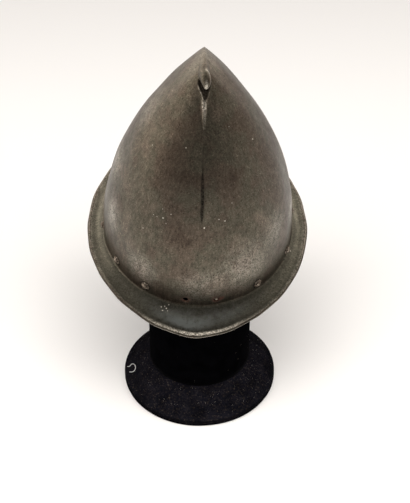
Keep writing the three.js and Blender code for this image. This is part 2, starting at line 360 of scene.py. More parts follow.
# Brim rings from the foot of the skull out over the top, round the turned edge and back underneath
def brimRings():
    crease = helmet["creaseRadius"]
    plate = helmet["plate"]
    drop = helmet["brimDrop"]
    bead = helmet["edgeDiameter"] / 2
    turns = evenTurns(crease / helmet["skullHeight"])
    foot = skullRing(crease / helmet["skullHeight"], turns)
    run = brimEdge(turns) - foot
    run[:, 2] = 0
    width = np.linalg.norm(run, axis=1)
    outward = run / width[:, None]
    dish = width - crease - helmet["borderWidth"]
    borderTop = -drop + plate / 2
    point = bell(np.sin(turns), 0, helmet["tipReach"])

    # Across is 0 at the crease and 1 at the border, and says how much deeper a point is dished
    def ring(out, height, across=None):
        points = foot + outward * np.broadcast_to(out, width.shape)[:, None]
        points[:, 2] = height
        if across is not None:
            points[:, 2] -= helmet["tipDish"] * point * np.sin(math.pi * across) ** 2
        return points

    rings = []
    for degrees in (15, 30, 45, 60, 75, 90):
        angle = math.radians(degrees)
        rings.append(ring(crease * (1 - math.cos(angle)), crease * (1 - math.sin(angle))))
    dished = []
    for across in np.linspace(0.08, 1, helmet["dishRows"]):
        sag = helmet["dishDepth"] * math.sin(math.pi * across)
        dished.append((crease + dish * across, borderTop * across - sag, across))
    rings += [ring(*place) for place in dished]
    rings += [ring(width - inset, borderTop + lift) for inset, lift in helmet["borderRows"]]
    meet = 180 - math.degrees(math.asin(plate / 2 / bead))
    for degrees in np.linspace(meet, -meet, helmet["edgeRows"]):
        angle = math.radians(degrees)
        rings.append(ring(width - bead + bead * math.cos(angle), -drop + bead * math.sin(angle)))
    rings += [ring(out, height - plate, across) for out, height, across in reversed(dished)]
    bend = crease + plate
    for degrees in (90, 70, 50, 30, 15):
        angle = math.radians(degrees)
        rings.append(ring(crease - bend * math.cos(angle), crease - bend * math.sin(angle)))
    return rings


# Shares of the height whose rings are evenly spaced along the back
def sharesBetween(low, high, rows):
    fine = np.linspace(low, high, 400)
    back = profileSize(helmet["back"], fine)
    steps = np.hypot(np.diff(back), np.diff(fine) * helmet["skullHeight"])
    run = np.concatenate([[0], np.cumsum(steps)])
    return np.interp(np.linspace(0, run[-1], rows), run, fine)


# Marks on the back of the skull, in mm: heights are above the crease, depths below the apex
backMarks = {
    "drift": 2.4,                   # how far the keel wanders to the right, and at what height
    "driftHeight": 112.0,
    "driftReach": 52.0,
    "upperDrift": 0.6,              # and the same below the stalk
    "upperDriftDepth": 34.0,
    "upperDriftReach": 16.0,
    "ridge": 1.1,                   # how far the ridge stands out
    "ridgeMiddle": 0.3,             # to the right
    "ridgeEnd": 44.0,               # the depth where it has faded out
    "hollow": 0.95,                 # how far the hollow goes in
    "hollowTop": 9.5,               # the depth where it starts
    "hollowLength": 7.3,
    "hollowMiddle": (0.8, 1.1),     # to the right at its top, and how much more at its end
    "hollowHalf": (5.8, 4.1),       # half its width at its top, and how much less at its end
    "lip": 0.35,                    # how far its lips stand out
    "nick": 0.25,                   # how far the two nicks across the ridge go in, and their depths
    "nickDepths": (22.2, 24.2),
    "bandDepths": (21.4, 23.2),     # the painted highlight bands above them
    "line": 0.3,                    # how far the line down the keel goes in
    "lineFoot": 101.0,
    "lineThins": 154.0,             # above this height it is thin and faint
    "lineTop": 172.0,
}


# Where the keel's line has wandered to, in mm to the right
def keelPath(x, y, z):
    marks = backMarks
    upper = helmet["skullHeight"] - marks["upperDriftDepth"]
    drift = marks["drift"] * bell(z, marks["driftHeight"], marks["driftReach"])
    drift += marks["upperDrift"] * bell(z, upper, marks["upperDriftReach"])
    return drift * bell(x, 0, 16) * ramp(y, 0, -10)


# The lopsided V-shaped hollow in the shadow of the stalk: mm from its edge, more than 0 inside it
def hollowInside(x, z):
    down = (helmet["skullHeight"] - backMarks["hollowTop"] - z) / backMarks["hollowLength"]
    along = np.clip(down, 0, 1)
    middle, slant = backMarks["hollowMiddle"]
    half, narrowing = backMarks["hollowHalf"]
    return (half - narrowing * along) * ramp(down, 1.2, -0.2) - np.abs(x - middle - slant * along)


# Half the width of the ridge below it, which fades out downwards
def ridgeHalf(z):
    return 0.7 + 1.7 * ramp(z, helmet["skullHeight"] - backMarks["ridgeEnd"], 28)


# The dark line down the keel, widest a little below the middle of the back
def keelLine(x, z, width):
    foot = backMarks["lineFoot"]
    thins = backMarks["lineThins"]
    half = width * (0.45 + 0.65 * ramp(z, thins - 2, -14) * ramp(z, foot + 3, 10))
    strength = 0.35 * ramp(z, backMarks["lineTop"], -14) + 0.65 * ramp(z, thins, -10)
    return bell(x, 0, half) * ramp(z, foot, 8) * strength


# The pinched ridge below the stalk, the hollow above it with its lips, the nicks across the ridge,
# and the fine line that runs on down the keel: how far each stands out from the skull, in mm
def keelRelief(x, y, z):
    top = helmet["skullHeight"]
    marks = backMarks
    ridgeFade = ramp(z, top - marks["ridgeEnd"], 24) * ramp(z, top - 15, -3)
    ridge = ridgeFade * bell(x, marks["ridgeMiddle"], ridgeHalf(z))
    depth = hollowInside(x, z)
    hollow = ramp(depth, 0, 1.5) * ramp(z, top - 5, -3)
    lip = bell(depth, -0.7, 0.7) * ramp(z, top - 8, -3) * ramp(z, top - 20, 3)
    nick = sum(bell(z, top - down, 0.55) for down in marks["nickDepths"])
    nick = nick * ridgeFade * bell(x, 0, 2)
    line = keelLine(x, z, 0.8)
    raised = marks["ridge"] * ridge + marks["lip"] * lip
    sunk = marks["hollow"] * hollow + marks["nick"] * nick + marks["line"] * line
    return ramp(y, -4, -4) * (raised - sunk)


# Plane waves that stand for the hammer's unevenness, the same every run. Divided by 3.2, together
# they come to about the stated wobble
def hammerWobble(points):
    rng = np.random.default_rng(7)
    shift = np.zeros_like(points)
    for _ in range(helmet["wobbleWaves"]):
        direction = rng.normal(size=3)
        direction /= np.linalg.norm(direction)
        wave = 2 * math.pi / rng.uniform(*helmet["wobbleLengths"])
        swing = rng.normal(size=3) * helmet["wobble"] / 3.2
        shift += np.sin(points @ direction * wave + rng.uniform(0, 6.28))[:, None] * swing
    return shift


# Where a point of the even shape ends up on the real one
def settled(points):
    x, y, z = points.T
    moved = points + hammerWobble(points)
    moved[:, 0] += keelPath(x, y, z)
    return moved


def gridNormals(rings):
    stack = np.stack(rings)
    around = np.roll(stack, -1, axis=1) - np.roll(stack, 1, axis=1)
    down = np.gradient(stack, axis=0)
    normal = np.cross(down, around)
    return normal / np.maximum(np.linalg.norm(normal, axis=2, keepdims=True), 1e-9)


def helmetRings():
    crease = helmet["creaseRadius"] / helmet["skullHeight"]
    steps = helmet["stalkSteps"]
    high = sharesBetween(helmet["highStart"], helmet["skullTop"], helmet["highRows"])[::-1]
    low = sharesBetween(crease, helmet["highStart"], helmet["lowRows"])[-2::-1]
    skull = [skullRing(share, evenTurns(share)) for share in (*high, *low)]
    root = [tiltedRing(*shares) for shares in rootRings]
    even = np.arange(helmet["columns"]) * 2 * math.pi / helmet["columns"]
    controls = stalkControlRings((even + evenTurns(helmet["skullTop"])) / 2)[::-1]
    tip = controls[0].mean(axis=0)
    beyond = tip + (tip - controls[1].mean(axis=0)) * helmet["tipLead"]
    lead = np.repeat([beyond], helmet["columns"], axis=0)
    outer = smoothRings([lead, *controls, *root, skull[0], skull[1]], steps)[:-1] + skull
    first, last = helmet["joinRows"]
    for _ in range(helmet["joinPasses"]):
        outer[first:last] = [(outer[i - 1] + 2 * outer[i] + outer[i + 1]) / 4
                             for i in range(first, last)]
    normals = gridNormals(outer)
    for index in range(steps * len(controls), len(outer)):
        lift = keelRelief(*outer[index].T)
        outer[index] = outer[index] + normals[index] * lift[:, None]
    inner = [skullRing(share, evenTurns(share), helmet["plate"])
             for share in sharesBetween(crease, helmet["innerTop"], helmet["innerRows"])]
    return beyond, outer, brimRings(), inner


# How much painted shade, dark line and painted highlight each part of the skull and stalk gets
skullShadeAndHighlights = {
    "creaseShadeAndDirt": 0.2, "hollowShade": 0.9, "lineDarkening": 1.9, "lineWidth": 1.15,
    "stalkRim": 0.4, "stalkTip": 1.3, "lips": 0.1, "leftLip": 0.5, "ridge": 0.5, "bands": 0.5,
}


# Painted shade, with some dirt, darkens the crease at the brim, and painted shade fills the hollow
# under the stalk;
# a dark line is painted along the keel's line. Painted highlights brighten the stalk's rim and tip,
# the hollow's lips, the ridge and its bands
def paintSkullShadeAndHighlights(places, onSkull):
    x, y, z = places.T
    top = helmet["skullHeight"]
    share = skullShadeAndHighlights
    side, back, front = (profileSize(helmet[name], z / top) for name in ("side", "back", "front"))
    length = np.where(y < 0, back, front)
    away = (np.hypot(x / np.maximum(side, 1), y / np.maximum(length, 1)) - 1) * 100
    # painted shade, with some dirt, in the crease at the brim
    crease = bell(z, 0.4, 2.0) * bell(away, 2.2, 2.6)
    depth = hollowInside(x, z)
    behind = (y < -8) * onSkull
    # painted shade in the hollow under the stalk
    hollow = ramp(depth, -0.3, 1.2) * ramp(z, top - 6, -2) * behind
    # a dark line painted down the keel
    line = keelLine(x, z, share["lineWidth"]) * (y < 0) * onSkull
    shadeAndDirt = share["creaseShadeAndDirt"] * crease + share["hollowShade"] * hollow + share["lineDarkening"] * line

    backward = -helmet["apexSetback"] - y
    # painted highlights on the stalk's rim and tip, the hollow's lips, the ridge and the bands across
    # it
    rimAway = np.hypot((x - 1.6) / 4.7, (backward - 17.6) / 14) - 1
    rim = bell(rimAway, 0, 0.13) * ramp(z, top - 6, 2) * ramp(x, -0.5, 2.5) * (backward < 20)
    tip = bell(backward, 21, 2.8) * bell(x, 2, 1.3) * (z > top - 7)
    lip = bell(depth, -0.6, 0.5) * ramp(z, top - 20, 3) * ramp(z, top - 9, -3)
    middle = backMarks["ridgeMiddle"]
    ridge = bell(x, middle, ridgeHalf(z), 4) * ramp(z, top - 48, 30) * ramp(z, top - 17, -2)
    bands = sum(bell(z, top - down, 0.5) for down in backMarks["bandDepths"])
    bands = bands * bell(x, middle, 2.2, 4)
    lips = (share["leftLip"] * (x < 0) + share["lips"]) * lip
    onBack = (lips + share["ridge"] * ridge + share["bands"] * bands) * behind
    wearAndHighlight = share["stalkRim"] * rim + share["stalkTip"] * tip + onBack
    return np.clip(wearAndHighlight, 0, 1.5) * (z > 20), np.clip(shadeAndDirt, 0, 1.6)


# Rows of the brim run from 0 at the crease over the dish (6 to 17), the border (18 to 22) and the
# rolled edge (23 to 39) to the underside
brimLook = {
    "pointReach": 46.0,             # mm to either side of the back point that show most wear, painted highlight and painted shade
    "shinePlace": (-8.0, 17.0),     # mm to the right of the point and reach of the painted pale sheen
    # Row, reach in rows, strength all round the brim and how much more at the point. The border is
    # rubbed to specks of bare metal, the rolled edge has painted highlights on its top and underside
    # with some wear and a painted dark line between them, and the dish has painted shade at the
    # crease and at the border
    "wearAndHighlight": ((25, 2.2, 0.5, 1.4), (33, 1.2, 0.25, 0.7), (21, 2.4, 0.1, 1.0)),
    "shadeAndDirt": ((6.5, 2.6, 0.2, 0.32), (17.0, 1.5, 0.25, 0.65), (29, 1.2, 0.8, 0.0)),
    # Row, reach and strength of the painted sheen beside the point, and of the one across it
    "pale": ((13.4, 2.4, 1.3), (11, 4.5, 0.45)),
    "edgeRow": 23,
    "grey": 0.75,                   # how far the brim has lost the skull's brown
}


def brimWearAndPaintedLight(places, row):
    x, y = places.T[:2]
    beside = bell(x, *brimLook["shinePlace"]) * (y < 0)
    across = bell(x, 0, brimLook["pointReach"], 4) * (y < 0)
    wearAndHighlight, shadeAndDirt = (sum((around + more * across) * bell(row, at, reach)
                       for at, reach, around, more in brimLook[kind]) for kind in ("wearAndHighlight", "shadeAndDirt"))
    pale = sum(strength * where * bell(row, at, reach)
               for where, (at, reach, strength) in zip((beside, across), brimLook["pale"]))
    return wearAndHighlight, shadeAndDirt, pale, ramp(row, -1, 5) * (row < brimLook["edgeRow"]) * brimLook["grey"]


def makeHelmetMesh():
    beyond, outer, brim, inner = helmetRings()
    innerTip = np.array([0, -helmet["apexSetback"] * helmet["innerTop"],
                         helmet["skullHeight"] * helmet["innerTop"] + helmet["plate"]])
    rings = outer + brim + inner
    places = np.vstack([[beyond], *rings, [innerTip]])
    points = settled(places)
    moved = points[1:-1].reshape(len(rings), helmet["columns"], 3)
    mesh = loftMesh("helmet_shell_skin", points[0], moved, points[-1])
    brimRow = np.repeat(np.arange(len(rings)), helmet["columns"]) - len(outer)
    onSkull = np.concatenate([[True], brimRow < 0, [False]])
    wearAndHighlight, shadeAndDirt = paintSkullShadeAndHighlights(places, onSkull)
    brimWearAndHighlight, brimShadeAndDirt, paleBrim, onBrim = brimWearAndPaintedLight(places[1:-1], brimRow)
    wearAndHighlight[1:-1] += brimWearAndHighlight
    shadeAndDirt[1:-1] = np.clip(shadeAndDirt[1:-1] + brimShadeAndDirt, 0, 1)
    # wear with painted highlights, and painted shade with some dirt, stored on each point
    setAttribute(mesh, "wearAndHighlight", "FLOAT", wearAndHighlight)
    setAttribute(mesh, "shadeAndDirt", "FLOAT", shadeAndDirt)
    setAttribute(mesh, "pale", "FLOAT", np.pad(paleBrim, 1))
    setAttribute(mesh, "brim", "FLOAT", np.pad(onBrim, 1))
    return mesh


# Where the helmet sits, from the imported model: turned, leant to its right and leant back, in that
# order, about the middle of the column's dome
def helmetPlacement():
    lean = Matrix.Rotation(math.radians(helmet["leanBack"]), 3, "X")
    lean = lean @ Matrix.Rotation(math.radians(helmet["leanRight"]), 3, "Y")
    lean = lean @ Matrix.Rotation(math.radians(-helmet["turnLeft"]), 3, "Z")
    low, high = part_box("stand_column")
    radius = (high[0] - low[0]) / 2
    dome = Vector((0, 0, high[2] - radius))
    up = lean @ Vector((0, 0, 1))
    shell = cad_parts["helmet_shell"].data
    lowest = min((vertex.co - dome).dot(up) for vertex in shell.vertices)
    seatHeight = -lowest - (helmet["brimDrop"] + helmet["edgeDiameter"] / 2) * mm
    seat = Vector((helmet["seatAside"] * mm, helmet["seatAhead"] * mm, seatHeight))
    place = lean.to_4x4()
    place.translation = dome - lean @ seat
    return place


# Lining rivets, in mm, and in degrees round the skull from the back point towards +X

rivets = {
    "row": 9.6,               # above the crease
    "shank": 3.0,
    "headDiameter": 6.4,
    "headHeight": 1.9,
    "headSeat": 0.8,          # share of the washer and gap that the head's edge stands above
    "stumpHeight": 0.9,       # what is left of the headless one
    "clenchDiameter": 5.0,
    "clenchHeight": 1.0,
    "washerDiameter": 9.8,
    "washerThickness": 1.3,
    "washerSeat": 0.5,        # share of the gap
    "petals": 8,
    "scallop": 0.12,          # how much the petals change the washer's radius and its thickness
    "flute": 0.32,
    "holeDiameter": 3.6,
    "openHoleDiameter": 5.6,  # the two open holes are worn wide
    "gap": 0.3,
    "headless": (11.6,),
    "whole": (38.5, 68, 96, 122, 148, 174, 200, 226, 252, 278, 304, 328.5),
    "missing": (353.9,),
    # Rust stains on the open holes and run on to the right: degrees, and by how many mm smaller
    "stains": ((11.6, 0.4), (13.6, 1.2), (15.2, 2.4), (353.9, 0.2)),
    "iron": ((0.35, "352920"), (0.5, "776c60"), (0.65, "b2a799")),
}


def rivetPlace(degrees):
    share = rivets["row"] / helmet["skullHeight"]
    turn = math.radians(degrees)
    step = 0.001
    around = np.array([turn - step, turn, turn + step])
    before, middle, after = skullRing(share, around)
    higher = skullRing(share + step, around)[1]
    outward = np.cross(after - before, higher - middle)
    return settled(np.array([middle]))[0], outward / np.linalg.norm(outward)


def rivetPoints(name, *kinds):
    chosen = [rivetPlace(degrees) for kind in kinds for degrees in rivets[kind]]
    mesh = bpy.data.meshes.new(name)
    mesh.from_pydata([tuple(place * mm) for place, outward in chosen], [], [])
    setAttribute(mesh, "outward", "FLOAT_VECTOR", [outward for place, outward in chosen])
    return addObject(name, mesh)


def cutHoles(piece):
    kinds = ("headless", "whole", "missing")
    cutter = rivetPoints("hole_cutter", *kinds)
    widths = [rivets["holeDiameter" if kind == "whole" else "openHoleDiameter"] * mm
              for kind in kinds for _ in rivets[kind]]
    setAttribute(cutter.data, "width", "FLOAT", widths)
    tree = newTree("hole pins", {})[0]
    begin = addNode(tree, "NodeGroupInput")
    # A pin 1 across and 2.5 long, scaled to the width of each hole
    pin = addNode(tree, "GeometryNodeMeshCylinder", {}, {
        "Vertices": 24, "Radius": 0.5, "Depth": 2.5})
    outward = addNode(tree, "GeometryNodeInputNamedAttribute", {"data_type": "FLOAT_VECTOR"}, {
        "Name": "outward"})
    width = addNode(tree, "GeometryNodeInputNamedAttribute", {"data_type": "FLOAT"}, {
        "Name": "width"})
    aim = addNode(tree, "FunctionNodeAlignRotationToVector", {"axis": "Z"}, {
        "Vector": outward.outputs["Attribute"]})
    placed = addNode(tree, "GeometryNodeInstanceOnPoints", {}, {
        "Points": begin.outputs[0], "Instance": pin.outputs["Mesh"],
        "Rotation": aim.outputs["Rotation"], "Scale": width.outputs["Attribute"]})
    real = addNode(tree, "GeometryNodeRealizeInstances", {}, {
        "Geometry": placed.outputs["Instances"]})
    addNode(tree, "NodeGroupOutput", {}, {0: real.outputs["Geometry"]})
    cutter.modifiers.new("pins", "NODES").node_group = tree
    settle(cutter)
    cut = piece.modifiers.new("rivet holes", "BOOLEAN")
    cut.operation = "DIFFERENCE"
    cut.solver = "EXACT"
    cut.object = cutter
    settle(piece)
    bpy.data.objects.remove(cutter)


# How far each point is from the nearest of some places in the rivets' row: (degrees, mm further)
def rowDistance(points, places):
    return np.min([np.linalg.norm(points - rivetPlace(degrees)[0], axis=1) + further
                   for degrees, further in places], axis=0)


# Forged carbon steel, hammered and planished, then left to a brown-grey patina: a dull metal shine
# that breaks up into faint mottled clouds, with dark pits, bright nicks, painted shade in the corners
# and painted highlights on the stalk, keel and brim edge

steelLook = {
    "patina": ((0.32, "4c4239"), (0.45, "574e44"), (0.55, "545045"), (0.68, "645b50")),
    "brim": "6a695e",         # greyer, with less of the brown
    "bareness": 0.9,          # the patina, which isn't metal, covers the rest
    "wearAndHighlightBareness": -0.42,    # how wear, painted highlights and rust change that
    "rustBareness": -0.6,
    "pale": "a8aeac",         # the painted bluish sheen at the brim's point
    # colour of worn bare metal, also used for the painted highlights
    "wearAndHighlight": "e4ddcf",
    "rust": "472b21",
    # colour of the painted shade in the crease, the hollow and the brim's recesses, and of the dirt
    # in the crease
    "shadeAndDirt": "100c0a",
    "roughness": 0.42,
    "dulling": 0.3,           # how much rougher dirt and rust are
    "nickStrength": 0.8,
    # Size in mm, detail and roughness of each pattern. Real pits and file marks are finer than a
    # millimetre and are drawn this coarse to show
    "patterns": {"cloud": (38.0, 4, 0.6), "mottle": (7.0, 6, 0.68), "pits": (1.4, 3, 0.75),
                 "streaks": (2.2, 2, 0.6)},
    "streakLength": 26.0,     # mm
    # How light or dark each pattern makes the colour
    "shades": {"mottle": ((0.3, 0.78), (0.5, 0.98), (0.7, 1.18)),
               "streaks": ((0.3, 0.76), (0.7, 1.24)),
               "pits": ((0.33, 0.4), (0.44, 0.94), (0.6, 1.08), (0.68, 2.1))},
    # Pattern or attribute, where its fade starts and stops, and the value at each
    "fades": {"patchy": ("mottle", 0.3, 0.6, 0.3, 1.0), "specks": ("pits", 0.38, 0.58, 0.08, 1.0),
              "ring": ("rivetAway", 6.6, 5.1, 0.0, 0.9), "stain": ("holeAway", 6.8, 2.6, 0.0, 1.0),
              "stainBreak": ("mottle", 0.38, 0.56, 0.35, 1.0),
              "shadeAndDirtBreak": ("pits", 0.42, 0.6, 0.4, 1.0)},
    "relief": 0.35,           # mm
}

# Nicks that catch the light: x and y in the photo's pixels, and their size in mm
nicks = (
    (163.0, 218.0, 0.9), (171.0, 214.3, 0.6), (162.6, 209.0, 0.5), (186.0, 147.8, 0.7),
    (252.7, 139.0, 0.9), (219.0, 219.5, 0.7), (225.0, 221.0, 0.8), (204.3, 228.0, 1.0),
    (161.3, 306.9, 0.8), (162.5, 310.4, 0.8), (164.8, 306.3, 0.7), (166.4, 308.2, 0.9),
    (168.8, 304.8, 0.7), (167.6, 310.8, 0.6), (232.0, 203.0, 0.6), (290.5, 251.0, 0.9),
    (284.0, 258.0, 0.7), (153.5, 214.6, 0.5), (157.0, 216.5, 0.5), (143.0, 228.0, 0.6),
    (166.0, 223.5, 0.5), (229.0, 126.5, 0.5), (152.5, 145.0, 0.5),
)
# Patches of painted light, brighter where more light falls on the skull: x and y in the photo's
# pixels, radius in mm and strength
litPatches = (
    (276.0, 228.0, 26.0, 0.22), (112.0, 212.0, 26.0, 0.42), (204.0, 51.0, 34.0, 0.18),
    (150.0, 105.0, 30.0, 0.2), (200.0, 288.0, 32.0, 0.24), (246.0, 268.0, 44.0, 0.25),
    (140.0, 268.0, 28.0, 0.26), (117.0, 160.0, 26.0, 0.42), (291.0, 208.0, 24.0, 0.4),
)


# Marks given by their pixel, with it replaced by the place in the helmet's own frame
def photoPlaces(mesh, marks):
    surface = raySurface(mesh)
    toHelmet = helmetPlacement().inverted()
    return [(toHelmet @ photoPoint(surface, x, y), *rest) for x, y, *rest in marks]


def makeSteel(marks):
    look = steelLook
    material, tree = newMaterial("forged steel, brown-grey patina")
    field = {name: addNode(tree, "ShaderNodeAttribute", {"attribute_name": name}).outputs["Fac"]
             for name in ("wearAndHighlight", "shadeAndDirt", "brim", "pale", "rivetAway", "holeAway")}
    place = addNode(tree, "ShaderNodeAttribute", {"attribute_name": "helmetPlace"}).outputs["Vector"]
    squeeze = (1, 1, look["patterns"]["streaks"][0] / look["streakLength"])
    drawn = addNode(tree, "ShaderNodeVectorMath", {"operation": "MULTIPLY"}, {
        0: place, 1: squeeze}).outputs["Vector"]
    for name, (size, detail, rough) in look["patterns"].items():
        field[name] = addNode(tree, "ShaderNodeTexNoise", {}, {
            "Vector": drawn if name == "streaks" else place, "Scale": 1 / (size * mm),
            "Detail": detail, "Roughness": rough}).outputs["Fac"]
    for name, (source, start, stop, low, high) in look["fades"].items():
        field[name] = addNode(tree, "ShaderNodeMapRange", {"interpolation_type": "SMOOTHSTEP"}, {
            "Value": field[source], "From Min": start, "From Max": stop,
            "To Min": low, "To Max": high}).outputs["Result"]

    # Wear and painted highlights come in patches and specks, and the nicks are sharp spots on top of
    # it
    for name, operation, first, second in (
        ("wearAndHighlight", "MULTIPLY", "wearAndHighlight", "patchy"), ("wearAndHighlight", "MULTIPLY", "wearAndHighlight", "specks"),
        ("pale", "MULTIPLY", "pale", "patchy"), ("shadeAndDirt", "MULTIPLY", "shadeAndDirt", "shadeAndDirtBreak"),
        # a darker ring round each washer's edge is added to the painted shade and dirt
        ("ring", "MULTIPLY", "ring", "specks"), ("shadeAndDirt", "MAXIMUM", "shadeAndDirt", "ring"),
        ("rust", "MULTIPLY", "stain", "stainBreak"), ("dull", "MAXIMUM", "shadeAndDirt", "rust"),
    ):
        field[name] = addNode(tree, "ShaderNodeMath", {"operation": operation, "use_clamp": True}, {
            0: field[first], 1: field[second]}).outputs[0]
    for point, size in marks:
        away = addNode(tree, "ShaderNodeVectorMath", {"operation": "DISTANCE"}, {0: place, 1: point})
        spot = addNode(tree, "ShaderNodeMapRange", {"interpolation_type": "SMOOTHSTEP"}, {
            "Value": away.outputs["Value"], "From Min": size * mm, "From Max": size * 0.4 * mm,
            "To Max": look["nickStrength"]})
        field["wearAndHighlight"] = addNode(tree, "ShaderNodeMath", {"operation": "MAXIMUM"}, {
            0: field["wearAndHighlight"], 1: spot.outputs["Result"]}).outputs[0]

    colour = addNode(tree, "ShaderNodeValToRGB", {}, {"Fac": field["cloud"]},
                     tones(look["patina"])).outputs["Color"]
    colour = addNode(tree, "ShaderNodeMix", {"data_type": "RGBA"}, {
        "Factor": field["brim"], "A": colour, "B": linear(look["brim"])}).outputs["Result"]
    for name, stops in look["shades"].items():
        shade = addNode(tree, "ShaderNodeValToRGB", {}, {"Fac": field[name]}, [
            (at, (value, value, value, 1)) for at, value in stops]).outputs["Color"]
        colour = addNode(tree, "ShaderNodeMix", {"data_type": "RGBA", "blend_type": "MULTIPLY"}, {
            "Factor": 1.0, "A": colour, "B": shade}).outputs["Result"]
    # painted sheen, wear with painted highlights, rust, and painted shade with dirt, each mixed over
    # the colour
    for name in ("pale", "wearAndHighlight", "rust", "shadeAndDirt"):
        colour = addNode(tree, "ShaderNodeMix", {"data_type": "RGBA"}, {
            "Factor": field[name], "A": colour, "B": linear(look[name])}).outputs["Result"]

    # Painted shade, dirt and rust are duller; wear, painted highlights and rust show less of the
    # metal
    smoothness = addNode(tree, "ShaderNodeMapRange", {}, {
        "Value": field["mottle"], "From Min": 0.3, "From Max": 0.7,
        "To Min": look["roughness"] + 0.07, "To Max": look["roughness"] - 0.05})
    rough = addNode(tree, "ShaderNodeMath", {"operation": "MULTIPLY_ADD"}, {
        0: field["dull"], 1: look["dulling"], 2: smoothness.outputs["Result"]})
    scratched = addNode(tree, "ShaderNodeMath", {"operation": "MULTIPLY_ADD"}, {
        0: field["wearAndHighlight"], 1: look["wearAndHighlightBareness"], 2: look["bareness"]})
    metal = addNode(tree, "ShaderNodeMath", {"operation": "MULTIPLY_ADD"}, {
        0: field["rust"], 1: look["rustBareness"], 2: scratched.outputs[0]})
    relief = addNode(tree, "ShaderNodeMath", {"operation": "MULTIPLY_ADD"}, {
        0: field["pits"], 1: 0.5, 2: field["mottle"]})
    bump = addNode(tree, "ShaderNodeBump", {}, {
        "Strength": 0.3, "Distance": look["relief"] * mm, "Height": relief.outputs[0]})
    shader = addNode(tree, "ShaderNodeBsdfPrincipled", {}, {
        "Base Color": colour, "Roughness": rough.outputs[0], "Metallic": metal.outputs[0],
        "Normal": bump.outputs["Normal"]})
    addNode(tree, "ShaderNodeOutputMaterial", {}, {"Surface": shader.outputs["BSDF"]})
    return material


def makeHelmet():
    mesh = makeHelmetMesh()
    mesh.transform(Matrix.Scale(mm, 4))
    piece = addObject("helmet_skin", mesh)
    cutHoles(piece)
    mesh = piece.data
    points = vertexRows(mesh, "co")
    whole = [(degrees, 0) for degrees in rivets["whole"]]
    setAttribute(mesh, "helmetPlace", "FLOAT_VECTOR", points)
    setAttribute(mesh, "rivetAway", "FLOAT", rowDistance(points / mm, whole))
    setAttribute(mesh, "holeAway", "FLOAT", rowDistance(points / mm, rivets["stains"]))
    mesh.transform(helmetPlacement())
    wearAndHighlight = np.empty(len(mesh.vertices), dtype=np.float32)
    mesh.attributes["wearAndHighlight"].data.foreach_get("value", wearAndHighlight)
    # the patches of painted light are added to the wear and highlight attribute
    for centre, radius, strength in photoPlaces(mesh, litPatches):
        away = np.linalg.norm(points - np.array(centre), axis=1) / (radius * mm)
        wearAndHighlight += strength * smoothStep(1 - away)
    setAttribute(mesh, "wearAndHighlight", "FLOAT", wearAndHighlight)
    mesh.materials.clear()
    mesh.materials.append(makeSteel(photoPlaces(mesh, nicks)))
    mesh.shade_smooth()
    return piece


helmetSkin = makeHelmet()
print("helmet shell made:", len(helmetSkin.data.polygons), "faces")


# Rivets and rosette washers, each set one Geometry Nodes tree

def runTree(piece, tree, sockets, values, material):
    modifier = piece.modifiers.new(tree.name, "NODES")
    modifier.node_group = tree
    for label, value in values.items():
        modifier[sockets[label]] = value
    modifier[sockets["Material"]] = material
    settle(piece)
    return piece


# One of the shape on each point, standing outwards and turned and sized at random
def placeOnPoints(tree, points, instance, material, smallest=1.0):
    outward = addNode(tree, "GeometryNodeInputNamedAttribute", {"data_type": "FLOAT_VECTOR"}, {
        "Name": "outward"})
    aim = addNode(tree, "FunctionNodeAlignRotationToVector", {"axis": "Z"}, {
        "Vector": outward.outputs["Attribute"]})
    spin = addNode(tree, "FunctionNodeRandomValue", {"data_type": "FLOAT"}, {
        "Min": 0.0, "Max": 6.28, "Seed": 3})
    twist = addNode(tree, "ShaderNodeCombineXYZ", {}, {"Z": spin.outputs["Value"]})
    twisted = addNode(tree, "FunctionNodeEulerToRotation", {}, {"Euler": twist.outputs[0]})
    turned = addNode(tree, "FunctionNodeRotateRotation", {"rotation_space": "LOCAL"}, {
        "Rotation": aim.outputs["Rotation"], "Rotate By": twisted.outputs[0]})
    size = addNode(tree, "FunctionNodeRandomValue", {"data_type": "FLOAT"}, {
        "Min": smallest, "Max": 1.0, "Seed": 5})
    placed = addNode(tree, "GeometryNodeInstanceOnPoints", {}, {
        "Points": points, "Instance": instance, "Rotation": turned.outputs["Rotation"],
        "Scale": size.outputs["Value"]})
    real = addNode(tree, "GeometryNodeRealizeInstances", {}, {
        "Geometry": placed.outputs["Instances"]})
    painted = addNode(tree, "GeometryNodeSetMaterial", {}, {
        "Geometry": real.outputs["Geometry"], "Material": material})
    smooth = addNode(tree, "GeometryNodeSetShadeSmooth", {}, {
        "Geometry": painted.outputs["Geometry"]})
    addNode(tree, "NodeGroupOutput", {}, {0: smooth.outputs["Geometry"]})


# A ball squashed to a dome: what would lie below its foot is pressed flat
def domeNodes(tree, segments, rings, radius, height, lift):
    ball = addNode(tree, "GeometryNodeMeshUVSphere", {}, {
        "Segments": segments, "Rings": rings, "Radius": 1.0})
    at = addNode(tree, "GeometryNodeInputPosition")
    parts = addNode(tree, "ShaderNodeSeparateXYZ", {}, {0: at.outputs[0]}).outputs
    above = addNode(tree, "ShaderNodeMath", {"operation": "MAXIMUM"}, {0: parts["Z"], 1: 0.0})
    axes = ((parts["X"], radius, 0.0), (parts["Y"], radius, 0.0), (above.outputs[0], height, lift))
    joined = addNode(tree, "ShaderNodeCombineXYZ")
    for axis, (value, size, start) in enumerate(axes):
        sized = addNode(tree, "ShaderNodeMath", {"operation": "MULTIPLY_ADD"}, {
            0: value, 1: size, 2: start})
        tree.links.new(sized.outputs[0], joined.inputs[axis])
    shaped = addNode(tree, "GeometryNodeSetPosition", {}, {
        "Geometry": ball.outputs["Mesh"], "Position": joined.outputs[0]})
    return shaped.outputs["Geometry"]


